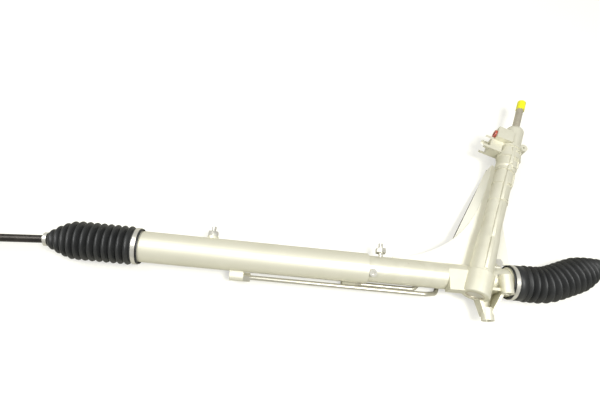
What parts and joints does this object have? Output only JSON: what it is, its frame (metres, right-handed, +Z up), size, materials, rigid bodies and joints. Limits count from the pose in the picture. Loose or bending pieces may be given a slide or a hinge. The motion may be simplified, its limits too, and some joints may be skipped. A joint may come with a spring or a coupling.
{
  "type": "steering rack",
  "caption": "Hydraulic power steering rack: cylinder tube, cast housing with leaning valve tower, gusset plate, fluid pipes, folded boots and ball-jointed tie rods.",
  "frame": {"origin": "centre of the main mounting bore at its front face, the face that meets the vehicle", "axes": "+X along the rack towards the pinion end, -Y out of the main mounting bore towards the vehicle, +Z up from the bench the rack lies on"},
  "size_m": [1.3641, 0.4746, 0.0805],
  "materials": {
    "silver_paint": "silver paint, satin, over castings and tube",
    "plate_zinc": "dull silver-grey coat",
    "pipe_zinc": "zinc plated, dull",
    "zinc_fastener": "zinc plated, satin",
    "boot_rubber": "black, satin moulded",
    "seal_rubber": "black",
    "rod_steel": "dark oiled steel",
    "ground_steel": "ground, bright",
    "bearing_steel": "polished",
    "input_steel": "turned",
    "cast_alloy": "machined",
    "bush_bronze": "turned",
    "ring_plastic": "filled fluoropolymer",
    "seat_plastic": "white acetal",
    "cap_plastic": "yellow, moulded",
    "plug_plastic": "red, moulded"
  },
  "bodies": {
    "housing": {"rack_housing": "silver_paint", "cylinder_tube": "silver_paint", "valve_tower": "silver_paint", "valve_head": "silver_paint", "bearing_outer": "bearing_steel", "bearing_balls": "bearing_steel", "end_plug": "ground_steel", "circlip": "ground_steel", "needle_bush": "bearing_steel", "input_bush": "bush_bronze", "input_seal": "seal_rubber", "rack_bush": "bush_bronze", "bulkhead_seal": "seal_rubber", "cylinder_gland": "cast_alloy", "gland_seal": "seal_rubber", "end_bush": "cast_alloy", "retaining_ring": "ground_steel", "yoke": "cast_alloy", "yoke_spring": "ground_steel", "yoke_plug": "silver_paint", "yoke_lock_nut": "silver_paint", "gusset_plate": "plate_zinc", "plate_bolts": "zinc_fastener", "locating_screw": "zinc_fastener", "mounting_studs": "zinc_fastener", "stud_nuts": "zinc_fastener", "pipe_short": "pipe_zinc", "pipe_long": "pipe_zinc", "pipe_nuts": "pipe_zinc", "boot_left": "boot_rubber", "boot_right": "boot_rubber", "boot_clamps": "zinc_fastener"},
    "rack": {"rack_bar": "ground_steel", "piston": "ground_steel", "piston_ring": "ring_plastic", "ball_joint_left": "rod_steel", "ball_joint_right": "rod_steel"},
    "pinion": {"pinion_shaft": "ground_steel", "valve_sleeve": "ground_steel", "sleeve_rings": "ring_plastic", "torsion_bar": "ground_steel", "torsion_pin": "ground_steel", "bearing_inner": "bearing_steel", "pinion_nut": "ground_steel"},
    "input": {"input_shaft": "input_steel"},
    "seat_left": {"ball_seat_left": "seat_plastic"},
    "seat_right": {"ball_seat_right": "seat_plastic"},
    "tie_left": {"tie_rod_left": "rod_steel", "jam_nut_left": "rod_steel", "small_clamp_left": "zinc_fastener"},
    "tie_right": {"tie_rod_right": "rod_steel", "jam_nut_right": "rod_steel", "small_clamp_right": "zinc_fastener"},
    "cap": {"shaft_cap": "cap_plastic"},
    "plug": {"port_plug": "plug_plastic"}
  },
  "joints": [
    {"name": "rack_slide", "type": "slide", "parent": "housing", "child": "rack", "axis": [1, 0, 0], "range_m": [-0.036, 0.076], "deforming": ["boot_left", "boot_right"]},
    {"name": "pinion_turn", "type": "hinge", "parent": "housing", "child": "pinion", "pos_m": [-0.042, 0.03, -0.0125], "axis": [0.3173, 0.9483, 0], "range_deg": [-517, 245.5]},
    {"name": "input_twist", "type": "hinge", "parent": "pinion", "child": "input", "pos_m": [0.05319, 0.3145, -0.0125], "axis": [0.3173, 0.9483, 0], "range_deg": [-5, 5], "stiffness_Nm_per_rad": 0.5},
    {"name": "left_rod_swing", "type": "hinge", "parent": "rack", "child": "seat_left", "pos_m": [-0.754, 0.03, -0.03], "axis": [0, 0, 1], "range_deg": [-29, 21]},
    {"name": "left_rod_tilt", "type": "hinge", "parent": "seat_left", "child": "tie_left", "pos_m": [-0.754, 0.03, -0.03], "axis": [-0.0698, 0.9976, 0], "range_deg": [-8, 8]},
    {"name": "right_rod_swing", "type": "hinge", "parent": "rack", "child": "seat_right", "pos_m": [0.088, 0.03, -0.03], "axis": [0, 0, 1], "range_deg": [-47, 3]},
    {"name": "right_rod_tilt", "type": "hinge", "parent": "seat_right", "child": "tie_right", "pos_m": [0.088, 0.03, -0.03], "axis": [0.3746, -0.9272, 0], "range_deg": [-8, 8]},
    {"name": "cap_slide", "type": "slide", "parent": "input", "child": "cap", "axis": [0.3173, 0.9483, 0], "range_m": [0, 0.03]},
    {"name": "plug_slide", "type": "slide", "parent": "housing", "child": "plug", "axis": [-0.9483, 0.3173, 0], "range_m": [0, 0.02]}
  ],
  "couplings": [
    {"joint": "pinion_turn", "follows": "rack_slide", "rad_per_m": -118.54}
  ]
}
